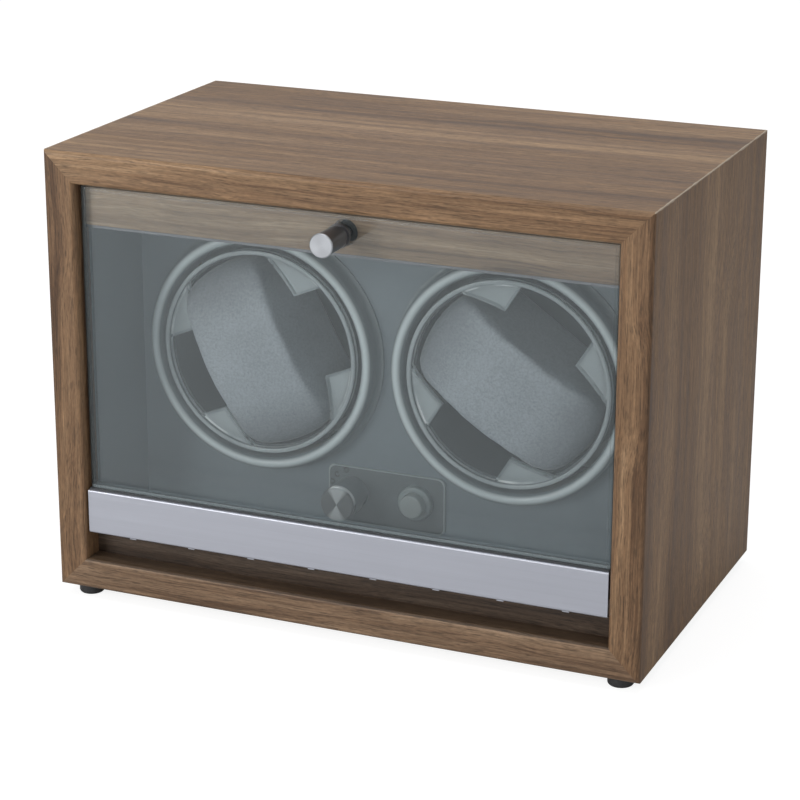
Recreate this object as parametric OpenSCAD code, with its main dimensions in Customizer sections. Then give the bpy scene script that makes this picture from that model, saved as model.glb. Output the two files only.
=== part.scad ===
// Double watch winder box: a mitred wooden case, a drop-down glass door, two driven watch rotors and their controls.
// The case frame has x to the right, y back from the front edge of the case and z up from its underside.

/* [Case] */
// Width of the case
case_w = 290; // [286:1:320]
// Height of the case boards, without the feet
case_h = 212; // [210:1:230]
// Depth of the case
case_d = 172; // [170:1:200]
// Thickness of the four case boards
board = 15; // [14:0.5:16]
// Radius of the softened front edges
edge_r = 2; // [1:0.5:3]
// Thickness of the back panel
back_t = 6; // [5:0.5:8]
// Height of the rubber feet
foot_h = 5.5; // [4:0.5:8]
// Radius of the rubber feet
foot_r = 6; // [5:0.5:8]

/* [Door] */
// Distance of the glass behind the front edge of the case
glass_y = 4.8; // [4.6:0.1:5]
// Thickness of the glass
glass_t = 4; // [3.8:0.1:4]
// Gap between the door and the sides of the opening
door_gap = 1; // [0.8:0.1:1.5]
// Width of the ground bevel on the glass
bevel_w = 2.2; // [1:0.1:4]
// Height of the aluminium channel on the lower edge of the door
channel_h = 21.4; // [20:0.2:24]
// Height of the lower edge of the door above the underside of the case
channel_z = 28.1; // [27:0.1:30]
// Radius of the two hinge pins
pin_r = 1.5; // [1.2:0.1:1.8]
// Length of the door knob in front of the glass
knob_l = 20.8; // [18:0.1:24]
// Radius of the door knob
knob_r = 5.5; // [5:0.5:7]
// Sideways place of the door knob from the middle
knob_x = 1; // [0:0.5:10]
// Height of the door knob above the underside of the case
knob_z = 186.5; // [184:0.5:188]

/* [Rotors] */
// Distance between the two rotor axes
rotor_pitch = 124.8; // [123:0.2:128]
// Height of the rotor axes above the underside of the case
rotor_z = 111.4; // [108:0.2:114]
// Radius of the bezel at its crest
bezel_r = 55; // [54:0.5:56]
// Outer radius of the clear cup's rim
rim_r = 49.6; // [49.2:0.1:50]
// Angle of the left rotor at rest
rest_left = -67; // [-180:1:180]
// Angle of the right rotor at rest
rest_right = -32; // [-180:0.5:180]
// Width of each pillow
pillow_w = 44.8; // [40:0.2:45]
// Length of each pillow
pillow_l = 90.4; // [80:0.2:90.4]
// How far the left pillow stands out of its cup at rest
out_left = 3.5; // [0:0.5:4]

/* [Drive] */
// Gear module
gear_m = 1.5; // [1.5:0.1:1.6]
// Teeth on each rotor gear
gear_teeth = 40; // [38:1:40]
// Teeth on each motor pinion
pinion_teeth = 16; // [15:1:17]

/* [Controls] */
// Sideways place of the mode knob
mode_x = -18; // [-20:0.5:-16]
// Sideways place of the push button
button_x = 15; // [13:0.5:17]
// Height of both controls above the underside of the case
control_z = 45.3; // [44:0.1:46]
// Radius of the mode knob
mode_r = 8.4; // [8:0.1:9]
// Radius of the push button
button_r = 5.7; // [5:0.1:5.8]

/* [Hidden] */
$fn = 96;
eps = 0.01;
walnut = [0.50, 0.40, 0.31];
lining_grey = [0.30, 0.32, 0.33];
steel = [0.62, 0.63, 0.65];
silver = [0.78, 0.78, 0.82];
front_y = -(case_d - (knob_l - glass_y)) / 2;
inner_x = case_w / 2 - board;
inner_top = case_h - board;
fit = 0.05;

// Rebate and fixings of the back panel
rebate = board / 2;
back_y = case_d - back_t;
back_screw_l = 16;
screw_r = 1.5;
back_screw_x = inner_x + rebate / 2;
back_screws_at = [
    for (sx = [-1, 1]) for (z = [40, case_h / 2, case_h - 40]) [sx * back_screw_x, z],
    [0, board - rebate / 2],
    [0, inner_top + rebate / 2]
];
foot_x = case_w / 2 - 11.5;
foot_y = 10;
feet_at = [for (sx = [-1, 1]) for (y = [foot_y, case_d - foot_y]) [sx * foot_x, y]];
foot_screw_l = 8.5;

// Parts behind the opening
valance_y = 9.6;
valance_t = 12;
valance_z = 176.6;
trim_h = 1.2;
sill_y = 11.5;
sill_h = 9.5;
magnet_r = 5;
magnet_t = 4;
screw_recess = 3.8;
lining_t = 1.4;
lining_y = 13.2;
baffle_y = 60;
baffle_t = 5;
baffle_hole_r = bezel_r - 1;

// Door
door_x = inner_x - door_gap;
glass_back = glass_y + glass_t;
glass_top = inner_top - 1;
glass_z = channel_z + 9.6;
bevel_d = 0.8;
channel_y = glass_y - 3;
channel_t = glass_back + 2 - channel_y;
channel_wall = 1.4;
hinge_y = channel_y + channel_t / 2;
hinge_z = channel_z + channel_t / 2;
hinge_block_l = 14;
pin_out = 9;
knob_hole_r = 2.6;
tab_pitch = 30.8;
tab_count = 8;

// Rotors, with depths measured from the front edge of the case
rotor_x = rotor_pitch / 2;
crest_y = 49.8;
lip_r = 2.8;
rim_y = 50.2;
rim_t = 4.2;
rim_w = 2.3;
drum_r = 48.2;
drum_wall = 1.8;
drum_y = rim_y + rim_t + 0.2;
drum_floor = 96.5;
floor_t = 2.5;
hub_r = 9;
hub_back = 106.2;
window_w = 20;
slot_r = 108.3;
slot_off = 77.9;
lip_w = 1.2;
web_y = 52.2;
web_t = 1.4;
cup_wall_l = 24;
shaft_r = 3;
shaft_back = 122;
clip_y = 119.8;
clip_t = 0.6;
pillow_back = 94.5;
pillow_front = 40;
pillow_corner = 14;
crown_r = 90;
skew_left = 4.5;
skew_right = -1.5;

// Drive train
plate_y = 108.5;
plate_t = 3;
plate_x = 122;
plate_z = [56, 172];
post_r = 4;
posts_at = [for (x = [-116, 0, 116]) for (z = [64, 164]) [x, z]];
m3_r = 1.5;
m3_head_r = 2.75;
m3_head_t = 2.2;
pressure = 20;
backlash = 0.12;
gear_t = 6;
gear_y = drum_floor + floor_t + 0.2;
mesh_distance = gear_m * (gear_teeth + pinion_teeth) / 2;
motor_z = rotor_z - mesh_distance;
motor_r = 18;
motor_t = 24;
motor_can_r = 12;
motor_can_t = 18;
motor_shaft_r = 2;
motor_boss_r = 6;
motor_screw_off = 14;
bush_r = 5;
bush_flange_r = 7;
bush_flange_t = 1.2;
bush_l = 11;

// Controls
plate_size = [59.4, 28];
plate_mid = [-0.5, 44.2];
control_plate_t = 1.5;
control_face = baffle_y - control_plate_t;
mode_front = 40;
mode_hub_back = 56;
spindle_r = 3;
switch_y = 66;
switch_t = 9;
board_y = switch_y + switch_t;
board_t = 1.6;
collar_r = 8.4;
collar_y = 55;
collar_bore = button_r + 0.3;
button_front = 50.5;
button_back = 62;
stem_r = 1.5;
stem_back = 70;
spring_r = 3;
spring_wire = 0.25;
spring_turns = 2.5;

// Power inlet and leads
dc_x = 100;
dc_z = 32;
dc_r = 4;
dc_flange_r = 6;
dc_flange_t = 1.5;
dc_body_l = 15;
plug_r = 2.8;
plug_depth = 9.5;
lead_r = 1.5;
wire_r = 0.7;
terminal_off = 5;
terminal_back = 157.5;
socket_back = board_y + board_t + 5;
dc_route = [
    [dc_x, case_d - dc_body_l - 0.2, dc_z], [dc_x, 150, dc_z], [94, 131, 28], [70, 113, 24], [47, 100, 26],
    [30, 94, 35], [23, 90, 44], [22, 86, 46], [22, socket_back + 0.2, 46]
];
motor_route = [
    [rotor_x, terminal_back + 0.2, motor_z], [rotor_x, 160.5, motor_z - 1], [rotor_x, 162, 60], [60, 158, 48],
    [50, 140, 38], [36, 118, 34], [20, 101, 38], [10, 91, 45], [8, 86, 46], [8, socket_back + 0.2, 46]
];
wire_spread = [terminal_off, terminal_off, 4, 3, 2, 1.5, 1.5, 1.5, 1.5, 1.5];

// ---- helpers ----

// Puts the case frame into the part's own frame
module in_case() {
    translate([0, front_y, foot_h]) children();
}

// Stands a turned or extruded shape on its axis at x and z, with local z pointing to the front from depth y
module facing_front(x, y, z) {
    in_case() translate([x, y, z]) rotate([90, 0, 0]) children();
}

// A box from its lowest to its highest corner in the case frame
module block(low, high) {
    in_case() translate(low) cube(high - low);
}

module tube(outer, inner, l) {
    difference() {
        cylinder(r = outer, h = l);
        translate([0, 0, -1]) cylinder(r = inner, h = l + 2);
    }
}

module rounded_rect(size, r) {
    square([size.x - 2 * r, size.y], center = true);
    square([size.x, size.y - 2 * r], center = true);
    for (sx = [-1, 1]) for (sy = [-1, 1])
        translate([sx * (size.x / 2 - r), sy * (size.y / 2 - r)]) circle(r);
}

// A pan-head screw with its shank pointing along local -z and its head on the z = 0 plane
module pan_screw(r, head_r, head_t, l) {
    translate([0, 0, -l]) cylinder(r = r, h = l + eps);
    difference() {
        union() {
            cylinder(r = head_r, h = head_t * 0.6);
            translate([0, 0, head_t * 0.6 - eps]) cylinder(r1 = head_r, r2 = head_r * 0.7, h = head_t * 0.4);
        }
        for (a = [0, 90]) rotate(a) translate([0, 0, head_t]) cube([head_r, 0.6, head_t], center = true);
    }
}

function unit(v) = v / norm(v);

function tube_ring(p, t, ref, r, sides) =
    let (n = unit(cross(t, ref)), b = cross(unit(t), n))
    [for (k = [0 : sides - 1]) p + r * (cos(360 * k / sides) * n + sin(360 * k / sides) * b)];

function tangent(path, i) = path[min(i + 1, len(path) - 1)] - path[max(i - 1, 0)];

// A tube of flat sides swept along a path that never runs parallel to ref
module swept_tube(path, r, ref, sides = 8) {
    n = len(path);
    points = [for (i = [0 : n - 1]) each tube_ring(path[i], tangent(path, i), ref, r, sides)];
    walls = [
        for (i = [0 : n - 2]) for (k = [0 : sides - 1]) let (j = (k + 1) % sides)
        [(i + 1) * sides + k, (i + 1) * sides + j, i * sides + j, i * sides + k]
    ];
    caps = [[for (k = [0 : sides - 1]) k], [for (k = [sides - 1 : -1 : 0]) (n - 1) * sides + k]];
    polyhedron(points, concat(walls, caps), convexity = 6);
}

function spline_point(p, i, t) =
    let (a = p[max(i - 1, 0)], b = p[i], c = p[i + 1], d = p[min(i + 2, len(p) - 1)])
    0.5 * (2 * b + (c - a) * t + (2 * a - 5 * b + 4 * c - d) * t * t + (3 * b - a - 3 * c + d) * t * t * t);

function smooth_route(p, steps = 4) =
    concat([for (i = [0 : len(p) - 2]) for (s = [0 : steps - 1]) spline_point(p, i, s / steps)], [p[len(p) - 1]]);

// ---- case ----

// Depth against thickness of a case board: rounded front edges and a rebate for the back panel
module board_profile() {
    difference() {
        union() {
            translate([edge_r, 0]) square([case_d - edge_r, board]);
            translate([0, edge_r]) square([case_d, board - 2 * edge_r]);
            for (t = [edge_r, board - edge_r]) translate([edge_r, t]) circle(edge_r);
        }
        translate([back_y, board - rebate]) square([back_t + 1, rebate + 1]);
    }
}

// A board l long on the z = 0 plane, mitred at both ends
module mitred_board(l) {
    intersection() {
        translate([-l / 2, 0, 0]) rotate([90, 0, 90]) linear_extrude(l) board_profile();
        translate([0, case_d + 1, 0]) rotate([90, 0, 0]) linear_extrude(case_d + 2)
            polygon([[-l / 2, 0], [l / 2, 0], [l / 2 - board, board], [board - l / 2, board]]);
    }
}

module back_screw_holes(r) {
    for (p = back_screws_at) facing_front(p.x, case_d + 1, p.y) cylinder(r = r, h = back_screw_l + 2);
}

module foot_screw_holes() {
    for (p = feet_at) in_case() translate([p.x, p.y, -1]) cylinder(r = m3_r + fit, h = foot_screw_l + 1.5);
}

module top_board() {
    color(walnut) difference() {
        in_case() translate([0, 0, case_h]) mirror([0, 0, 1]) mitred_board(case_w);
        back_screw_holes(screw_r + fit);
    }
}

module bottom_board() {
    color(walnut) difference() {
        in_case() mitred_board(case_w);
        back_screw_holes(screw_r + fit);
        foot_screw_holes();
    }
}

module side_board() {
    difference() {
        in_case() translate([-case_w / 2, 0, case_h / 2]) rotate([0, 90, 0]) mitred_board(case_h);
        back_screw_holes(screw_r + fit);
        in_case() translate([-inner_x - pin_out, hinge_y, hinge_z]) rotate([0, 90, 0])
            cylinder(r = pin_r + fit, h = pin_out + 1);
    }
}

module left_board() {
    color(walnut) side_board();
}

module right_board() {
    color(walnut) mirror([1, 0, 0]) side_board();
}

module back_panel() {
    half_x = inner_x + rebate - 0.3;
    gap_z = board - rebate + 0.3;
    color([0.16, 0.15, 0.15]) difference() {
        block([-half_x, back_y + eps, gap_z], [half_x, case_d, case_h - gap_z]);
        back_screw_holes(screw_r + fit);
        for (p = back_screws_at) facing_front(p.x, case_d + eps, p.y) cylinder(r1 = 3.2, r2 = screw_r, h = 1.9);
        facing_front(dc_x, case_d + 1, dc_z) cylinder(r = dc_r + 0.1, h = back_t + 2);
        facing_front(dc_x, case_d + 1, dc_z) cylinder(r = dc_flange_r + 0.2, h = dc_flange_t + 1.05);
    }
}

module back_screws() {
    color(steel) for (p = back_screws_at) facing_front(p.x, case_d - 0.1, p.y) difference() {
        union() {
            cylinder(r1 = 2.9, r2 = screw_r, h = 1.6);
            cylinder(r = screw_r, h = back_screw_l - 0.5);
        }
        for (a = [0, 90]) rotate(a) cube([3.2, 0.6, 1.6], center = true);
    }
}

module foot_shape() {
    round_r = 1.4;
    difference() {
        union() {
            cylinder(r = foot_r - round_r, h = foot_h);
            translate([0, 0, round_r]) cylinder(r = foot_r, h = foot_h - round_r);
            rotate_extrude() translate([foot_r - round_r, round_r]) circle(round_r, $fn = 48);
        }
        translate([0, 0, -1]) cylinder(r = m3_r + 0.1, h = foot_h + 2);
        translate([0, 0, -1]) cylinder(r = m3_head_r + 0.3, h = 3.6);
    }
}

module feet() {
    color([0.09, 0.09, 0.09]) for (p = feet_at) translate([p.x, p.y + front_y, 0]) foot_shape();
}

module foot_screws() {
    color(steel) for (p = feet_at) translate([p.x, p.y + front_y, 2.6]) rotate([180, 0, 0])
        pan_screw(m3_r, m3_head_r, 2, foot_h - 2.6 + foot_screw_l);
}

// ---- parts behind the opening ----

module valance() {
    color(walnut) difference() {
        block([-inner_x + 0.1, valance_y, valance_z], [inner_x - 0.1, valance_y + valance_t, inner_top - 0.1]);
        facing_front(knob_x, valance_y + screw_recess, knob_z) cylinder(r = magnet_r + 1, h = screw_recess + 1);
        facing_front(knob_x, valance_y + screw_recess + magnet_t, knob_z)
            cylinder(r = magnet_r + fit, h = magnet_t + 1);
    }
}

module valance_trim() {
    color(silver) block([-inner_x + 0.1, valance_y - 0.3, valance_z - trim_h],
        [inner_x - 0.1, valance_y + 2.5, valance_z - eps]);
}

module catch_magnet() {
    color(steel) facing_front(knob_x, valance_y + screw_recess + magnet_t - eps, knob_z)
        cylinder(r = magnet_r, h = magnet_t - 2 * eps);
}

module door_sill() {
    color(walnut) block([-inner_x + 0.1, sill_y, board + eps], [inner_x - 0.1, sill_y + valance_t, board + sill_h]);
}

// One folded lining that covers the four walls between the door and the baffle
module interior_lining() {
    x = inner_x - 0.05;
    low = board + 0.05;
    high = inner_top - 0.05;
    color(lining_grey) difference() {
        block([-x, lining_y, low], [x, baffle_y - eps, high]);
        block([-x + lining_t, lining_y - 1, low + lining_t], [x - lining_t, baffle_y + 1, high - lining_t]);
        block([-x - 1, lining_y - 1, valance_z - trim_h - 0.1], [x + 1, valance_y + valance_t + 0.1, high + 1]);
        block([-x - 1, lining_y - 1, low - 1], [x + 1, sill_y + valance_t + 0.1, board + sill_h + 0.1]);
    }
}

module baffle() {
    color(lining_grey) difference() {
        block([-inner_x + 0.1, baffle_y, board + 0.1], [inner_x - 0.1, baffle_y + baffle_t, inner_top - 0.1]);
        for (sx = [-1, 1]) facing_front(sx * rotor_x, baffle_y + baffle_t + 1, rotor_z)
            cylinder(r = baffle_hole_r, h = baffle_t + 2);
        facing_front(mode_x, baffle_y + baffle_t + 1, control_z) cylinder(r = 3.6, h = baffle_t + 2);
        facing_front(button_x, baffle_y + baffle_t + 1, control_z) cylinder(r = 7.1, h = baffle_t + 2);
    }
}

// ---- door ----

// A long wedge that grinds the bevel off a straight edge: local x runs out of the glass, z along the edge
module bevel_cutter(l) {
    linear_extrude(l) polygon([[-bevel_w, -1], [-bevel_w, 0], [1, bevel_d * (1 + 1 / bevel_w)], [1, -1]]);
}

module glass_pane() {
    color([0.72, 0.80, 0.82, 0.35]) difference() {
        block([-door_x, glass_y, glass_z], [door_x, glass_back, glass_top]);
        for (sx = [0, 1]) mirror([sx, 0, 0]) in_case()
            translate([door_x, glass_y, channel_z + channel_h]) bevel_cutter(case_h);
        in_case() translate([door_x + 1, glass_y, glass_top]) rotate([0, -90, 0]) bevel_cutter(2 * door_x + 2);
        facing_front(knob_x, glass_back + 1, knob_z) cylinder(r = knob_hole_r, h = glass_t + 2);
    }
}

// Section of the aluminium channel: x is depth, y is height
module channel_section() {
    r = 0.8;
    difference() {
        union() {
            translate([r, 0]) square([channel_t - 2 * r, channel_h]);
            translate([0, r]) square([channel_t, channel_h - 2 * r]);
            for (x = [r, channel_t - r]) for (y = [r, channel_h - r]) translate([x, y]) circle(r, $fn = 48);
        }
        translate([channel_wall, channel_wall]) square([channel_t - 2 * channel_wall, channel_h]);
    }
}

module door_channel() {
    tab_x = -tab_pitch * (tab_count - 1) / 2;
    color(silver) union() {
        in_case() translate([-door_x, channel_y, channel_z]) rotate([90, 0, 90]) linear_extrude(2 * door_x)
            channel_section();
        for (i = [0 : tab_count - 1]) block([tab_x + i * tab_pitch, channel_y + 0.9, channel_z - 0.6],
            [tab_x + i * tab_pitch + 3.2, channel_y + 2.2, channel_z + 0.5]);
    }
}

module glass_gasket() {
    gasket_x = door_x - 0.2;
    front = channel_y + channel_wall + eps;
    back = channel_y + channel_t - channel_wall - eps;
    top = channel_z + channel_h + 0.7;
    color([0.05, 0.05, 0.05]) difference() {
        block([-gasket_x, front, glass_z - 1.6], [gasket_x, back, top]);
        block([-gasket_x - 1, glass_y - eps, glass_z - eps], [gasket_x + 1, glass_back + eps, top + 1]);
    }
}

module hinge_blocks() {
    top = glass_z - 1.7;
    color([0.85, 0.84, 0.80]) for (sx = [0, 1]) mirror([sx, 0, 0]) difference() {
        block([door_x - hinge_block_l, channel_y + channel_wall + 0.02, channel_z + channel_wall + 0.02],
            [door_x - 0.1, channel_y + channel_t - channel_wall - 0.02, top]);
        in_case() translate([door_x - hinge_block_l + 2, hinge_y, hinge_z]) rotate([0, 90, 0])
            cylinder(r = pin_r + fit, h = hinge_block_l);
    }
}

module hinge_pins() {
    inner = door_x - hinge_block_l + 3;
    color(steel) for (sx = [0, 1]) mirror([sx, 0, 0]) in_case()
        translate([inner, hinge_y, hinge_z]) rotate([0, 90, 0]) cylinder(r = pin_r, h = inner_x + pin_out - 0.5 - inner);
}

// Turned body of the knob: a flange against the washer, a waist and a straight grip
module door_knob() {
    washer_t = 1.2;
    flange_t = 1.6;
    face_t = 1;
    grip = knob_l - washer_t - face_t;
    color([0.30, 0.29, 0.30]) facing_front(knob_x, glass_y - washer_t, knob_z) difference() {
        union() {
            cylinder(r = knob_r, h = flange_t);
            cylinder(r = knob_r - 1.1, h = flange_t + 1.4);
            translate([0, 0, flange_t + 1.2]) cylinder(r1 = knob_r - 0.9, r2 = knob_r - 0.3, h = 1.2);
            translate([0, 0, flange_t + 2.4 - eps]) cylinder(r = knob_r - 0.3, h = grip - flange_t - 2.4);
        }
        translate([0, 0, -1]) cylinder(r = 2.02, h = 9);
    }
}

module knob_face() {
    color(silver) facing_front(knob_x, glass_y - knob_l + 1, knob_z) union() {
        cylinder(r = knob_r, h = 0.6);
        translate([0, 0, 0.6 - eps]) cylinder(r1 = knob_r, r2 = knob_r - 0.4, h = 0.4 + eps);
    }
}

module knob_washer() {
    color([0.07, 0.07, 0.07]) facing_front(knob_x, glass_y - eps, knob_z) tube(knob_r - 0.4, 2.3, 1.2 - 2 * eps);
}

module knob_screw() {
    color(steel) facing_front(knob_x, glass_back + eps, knob_z) mirror([0, 0, 1])
        pan_screw(2, 3.3, 1.8, glass_t + 1.2 + 7);
}

// ---- rotors ----

// Half section of the bezel: x is radius, y is the distance in front of the baffle
module bezel_section() {
    crest = baffle_y - crest_y;
    centre = crest - lip_r;
    foot = 2.5;
    outer = bezel_r + lip_r;
    difference() {
        union() {
            translate([bezel_r - lip_r, -7]) square([1.4, centre + 7]);
            translate([bezel_r - lip_r, 0]) square([2 * lip_r, centre]);
            translate([bezel_r, centre]) circle(lip_r);
            translate([outer - eps, 0]) square([foot, foot + 0.8]);
        }
        translate([outer + foot, foot + 0.8]) circle(foot);
        translate([bezel_r - lip_r + 1.4, -1]) square([2, centre]);
    }
}

module bezel(side) {
    color(lining_grey) facing_front(side * rotor_x, baffle_y - eps, rotor_z) rotate_extrude() difference() {
        bezel_section();
        translate([baffle_hole_r - 0.2, -8]) square([20, 8]);
    }
}

module bezel_left() {
    bezel(-1);
}

module bezel_right() {
    bezel(1);
}

module rotor_drum(side) {
    inner = drum_r - drum_wall;
    color([0.10, 0.10, 0.11]) facing_front(side * rotor_x, hub_back, rotor_z) difference() {
        union() {
            translate([0, 0, hub_back - drum_floor - floor_t]) cylinder(r = drum_r, h = drum_floor + floor_t - drum_y);
            cylinder(r = hub_r, h = hub_back - drum_floor);
        }
        translate([0, 0, hub_back - drum_floor]) cylinder(r = inner, h = drum_floor);
        translate([0, 0, -1]) cylinder(r = shaft_r + 0.02, h = hub_back);
    }
}

module rotor_drum_left() {
    rotor_drum(-1);
}

module rotor_drum_right() {
    rotor_drum(1);
}

// The cross-shaped opening of the cup, grown by o: a long oval for the pillow and two windows for the strap
module cup_opening(o) {
    intersection() {
        translate([0, -slot_off]) circle(slot_r + o, $fn = 180);
        translate([0, slot_off]) circle(slot_r + o, $fn = 180);
    }
    square([2 * (window_w + o), 4 * rim_r], center = true);
}

module cup_gusset(o) {
    difference() {
        circle(rim_r - rim_w + 0.3);
        cup_opening(o);
    }
}

// Clear cup, built with local z pointing to the front from the back of its rim
module cup_shape() {
    back = rim_y + rim_t;
    web_z = back - web_y - web_t;
    round_r = 0.8;
    wall_r = drum_r - drum_wall - 0.2;
    rotate_extrude() union() {
        translate([rim_r - rim_w, 0]) square([rim_w, rim_t - round_r]);
        translate([rim_r - rim_w + round_r, 0]) square([rim_w - 2 * round_r, rim_t]);
        for (r = [rim_r - rim_w + round_r, rim_r - round_r]) translate([r, rim_t - round_r]) circle(round_r, $fn = 48);
    }
    translate([0, 0, web_z]) linear_extrude(web_t) cup_gusset(0);
    translate([0, 0, web_z]) linear_extrude(rim_t - web_z - 0.6) difference() {
        cup_gusset(0);
        cup_gusset(lip_w);
    }
    translate([0, 0, -cup_wall_l]) linear_extrude(cup_wall_l + web_z + eps) for (a = [0, 180]) rotate(a)
        for (m = [0, 1]) mirror([0, m]) intersection() {
            difference() {
                circle(wall_r);
                circle(wall_r - 1.4);
            }
            polygon([[0, 0], [90 * cos(33), 90 * sin(33)], [90 * cos(60), 90 * sin(60)]]);
        }
}

module rotor_cup(side, angle) {
    color([0.85, 0.88, 0.88, 0.5]) facing_front(side * rotor_x, rim_y + rim_t, rotor_z) rotate(angle) cup_shape();
}

module rotor_cup_left() {
    rotor_cup(-1, rest_left);
}

module rotor_cup_right() {
    rotor_cup(1, rest_right);
}

// Watch pillow: a block with rounded corners, ends that follow the cup and a crowned front
module pillow(side, angle, out) {
    depth = pillow_back - pillow_front;
    color([0.42, 0.43, 0.44]) facing_front(side * rotor_x, pillow_back - out, rotor_z) rotate(angle) intersection() {
        linear_extrude(depth) rounded_rect([pillow_l, pillow_w], pillow_corner);
        cylinder(r = pillow_l / 2, h = depth);
        translate([0, 0, depth - crown_r]) rotate([90, 0, 0]) cylinder(r = crown_r, h = 2 * pillow_w, center = true);
    }
}

module pillow_left() {
    pillow(-1, rest_left + skew_left, out_left);
}

module pillow_right() {
    pillow(1, rest_right + skew_right, 0);
}

// ---- drive train ----

function involute_angle(a) = tan(a) * 180 / PI - a;

function tooth_half_angle(teeth, r) =
    let (rp = gear_m * teeth / 2, rb = rp * cos(pressure))
    90 / teeth - backlash / rp * 90 / PI + involute_angle(pressure) - involute_angle(acos(rb / max(r, rb)));

function polar(r, a) = [r * cos(a), r * sin(a)];

// Outline of a spur gear with a tooth centred on angle 0
function gear_outline(teeth) =
    let (rp = gear_m * teeth / 2, rf = rp - 1.25 * gear_m, rb = rp * cos(pressure), ra = rp + gear_m,
        radii = [rf, max(rb, rf), (rp + max(rb, rf)) / 2, (rp + ra) / 2, ra])
    [for (i = [0 : teeth - 1]) let (mid = 360 * i / teeth) each concat(
        [for (r = radii) polar(r, mid - tooth_half_angle(teeth, r))],
        [for (k = [len(radii) - 1 : -1 : 0]) polar(radii[k], mid + tooth_half_angle(teeth, radii[k]))]
    )];

module rotor_gear(side) {
    color([0.86, 0.86, 0.82]) facing_front(side * rotor_x, gear_y + gear_t, rotor_z) difference() {
        linear_extrude(gear_t) rotate(-90) polygon(gear_outline(gear_teeth));
        translate([0, 0, -1]) cylinder(r = hub_r + 0.05, h = gear_t + 2);
        for (a = [0 : 60 : 300]) rotate(a) translate([18.5, 0, -1]) cylinder(r = 5, h = gear_t + 2);
    }
}

module rotor_gear_left() {
    rotor_gear(-1);
}

module rotor_gear_right() {
    rotor_gear(1);
}

// Spindle with a head inside the drum and a groove for its clip
module rotor_shaft(side) {
    head_t = 1.6;
    color(steel) facing_front(side * rotor_x, shaft_back, rotor_z) difference() {
        union() {
            cylinder(r = shaft_r, h = shaft_back - drum_floor + eps);
            translate([0, 0, shaft_back - drum_floor + eps]) cylinder(r = 6, h = head_t);
        }
        translate([0, 0, shaft_back - clip_y - clip_t]) difference() {
            cylinder(r = shaft_r + 1, h = clip_t + 0.1);
            translate([0, 0, -1]) cylinder(r = shaft_r - 0.6, h = clip_t + 3);
        }
    }
}

module rotor_shaft_left() {
    rotor_shaft(-1);
}

module rotor_shaft_right() {
    rotor_shaft(1);
}

module shaft_clip(side) {
    color(steel) facing_front(side * rotor_x, clip_y + clip_t, rotor_z) linear_extrude(clip_t) difference() {
        circle(5);
        circle(shaft_r - 0.55);
        translate([0, -2.3]) square([8, 4.6]);
    }
}

module shaft_clip_left() {
    shaft_clip(-1);
}

module shaft_clip_right() {
    shaft_clip(1);
}

module bearing_bushes() {
    color([0.72, 0.53, 0.30]) for (sx = [-1, 1])
        facing_front(sx * rotor_x, plate_y - bush_flange_t + bush_l, rotor_z) difference() {
            union() {
                cylinder(r = bush_r, h = bush_l);
                translate([0, 0, bush_l - bush_flange_t]) cylinder(r = bush_flange_r, h = bush_flange_t);
            }
            translate([0, 0, -1]) cylinder(r = shaft_r + fit, h = bush_l + 2);
        }
}

// Flat gearbox with a small motor can behind it and its terminals at the rear
module gearmotor(side) {
    boss = plate_t + 1.2;
    color([0.55, 0.56, 0.58]) facing_front(side * rotor_x, plate_y + plate_t + motor_t, motor_z) difference() {
        union() {
            cylinder(r = motor_r, h = motor_t - eps);
            cylinder(r = motor_boss_r, h = motor_t + boss);
            translate([0, 0, -motor_can_t]) cylinder(r = motor_can_r, h = motor_can_t + 1);
            for (sx = [-1, 1]) translate([sx * terminal_off - 0.3, -1, -motor_can_t - 4]) cube([0.6, 2, 5]);
        }
        translate([0, 0, 2]) cylinder(r = motor_shaft_r + fit, h = motor_t + boss);
        for (sx = [-1, 1]) translate([sx * motor_screw_off, 0, motor_t - 6]) cylinder(r = m3_r + 0.02, h = 7);
    }
}

module gearmotor_left() {
    gearmotor(-1);
}

module gearmotor_right() {
    gearmotor(1);
}

// Pinion cut on the end of the gearbox output shaft, with a gap turned to the rotor gear
module pinion(side) {
    front = gear_y + 0.4;
    back = plate_y - 2.6;
    tail = 20;
    color([0.76, 0.62, 0.34]) facing_front(side * rotor_x, back, motor_z) union() {
        linear_extrude(back - front) rotate(90 + 180 / pinion_teeth) polygon(gear_outline(pinion_teeth));
        translate([0, 0, -tail]) cylinder(r = motor_shaft_r, h = tail + eps);
    }
}

module pinion_left() {
    pinion(-1);
}

module pinion_right() {
    pinion(1);
}

module motor_plate() {
    color([0.45, 0.46, 0.48]) difference() {
        block([-plate_x, plate_y, plate_z[0]], [plate_x, plate_y + plate_t, plate_z[1]]);
        for (sx = [-1, 1]) {
            facing_front(sx * rotor_x, plate_y + plate_t + 1, rotor_z) cylinder(r = bush_r + 0.02, h = plate_t + 2);
            facing_front(sx * rotor_x, plate_y + plate_t + 1, motor_z)
                cylinder(r = motor_boss_r + 0.1, h = plate_t + 2);
            for (s = [-1, 1]) facing_front(sx * rotor_x + s * motor_screw_off, plate_y + plate_t + 1, motor_z)
                cylinder(r = m3_r + 0.2, h = plate_t + 2);
        }
        for (p = posts_at) facing_front(p.x, plate_y + plate_t + 1, p.y) cylinder(r = m3_r + 0.2, h = plate_t + 2);
    }
}

module plate_posts() {
    l = plate_y - baffle_y - baffle_t;
    color(steel) for (p = posts_at) facing_front(p.x, plate_y - eps, p.y) difference() {
        cylinder(r = post_r, h = l - 2 * eps);
        translate([0, 0, -1]) cylinder(r = m3_r + 0.02, h = 13);
    }
}

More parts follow.
